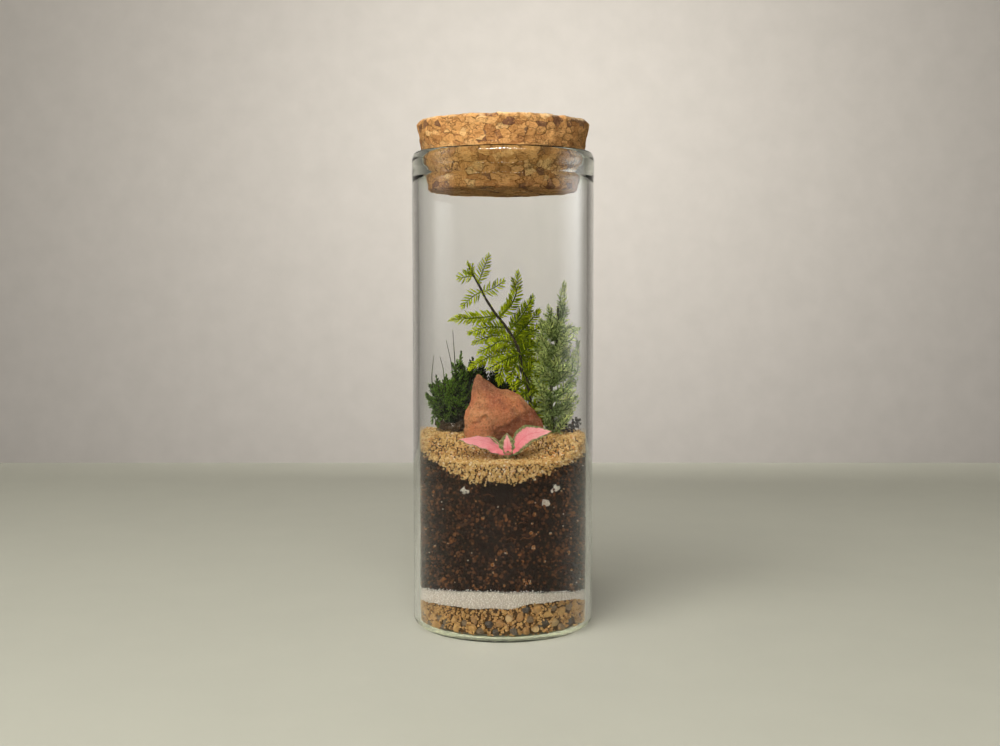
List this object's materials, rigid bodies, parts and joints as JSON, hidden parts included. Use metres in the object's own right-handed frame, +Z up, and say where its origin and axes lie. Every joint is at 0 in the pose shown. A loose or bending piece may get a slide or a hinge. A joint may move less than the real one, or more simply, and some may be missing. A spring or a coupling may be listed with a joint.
{
  "type": "glass plant terrarium",
  "caption": "Corked straight-sided glass jar planted as a closed terrarium, with layered sand and soil, a stone, feathery fronds, moss and a pink-leaved cutting.",
  "frame": {"origin": "centre of the jar's foot, on the surface it stands on", "axes": "+Z up along the jar, -Y towards the side with the pink-leaved cutting, +X to the right seen from there"},
  "size_m": [0.047, 0.047, 0.1303],
  "materials": {
    "glass": "clear soda glass, fire-polished rim, faintly green edges",
    "cork": "agglomerated cork granules, unvarnished",
    "gravel": "coarse tan sand with rounded pebbles",
    "white_sand": "fine white sand",
    "soil": "damp dark potting soil of peat and bark crumbs",
    "golden_sand": "coarse golden sand",
    "perlite": "white crumbly perlite",
    "stone": "pitted terracotta-red sandstone",
    "pink_leaf": "soft leaf, pink with olive margin",
    "yellow_green_leaf": "translucent moss needles on a dark stem",
    "blue_green_leaf": "soft grey-green moss needles",
    "moss": "dense dark green moss"
  },
  "bodies": {
    "root": {"glass_jar": "glass", "cork_stopper": "cork", "gravel_layer": "gravel", "white_sand_layer": "white_sand", "soil_layer": "soil", "golden_sand_layer": "golden_sand", "perlite_1": "perlite", "perlite_2": "perlite", "perlite_3": "perlite", "perlite_4": "perlite", "stone": "stone", "pink_leaf_cutting": "pink_leaf", "tall_frond": "yellow_green_leaf", "side_frond": "blue_green_leaf", "moss_clump": "moss"}
  },
  "joints": []
}
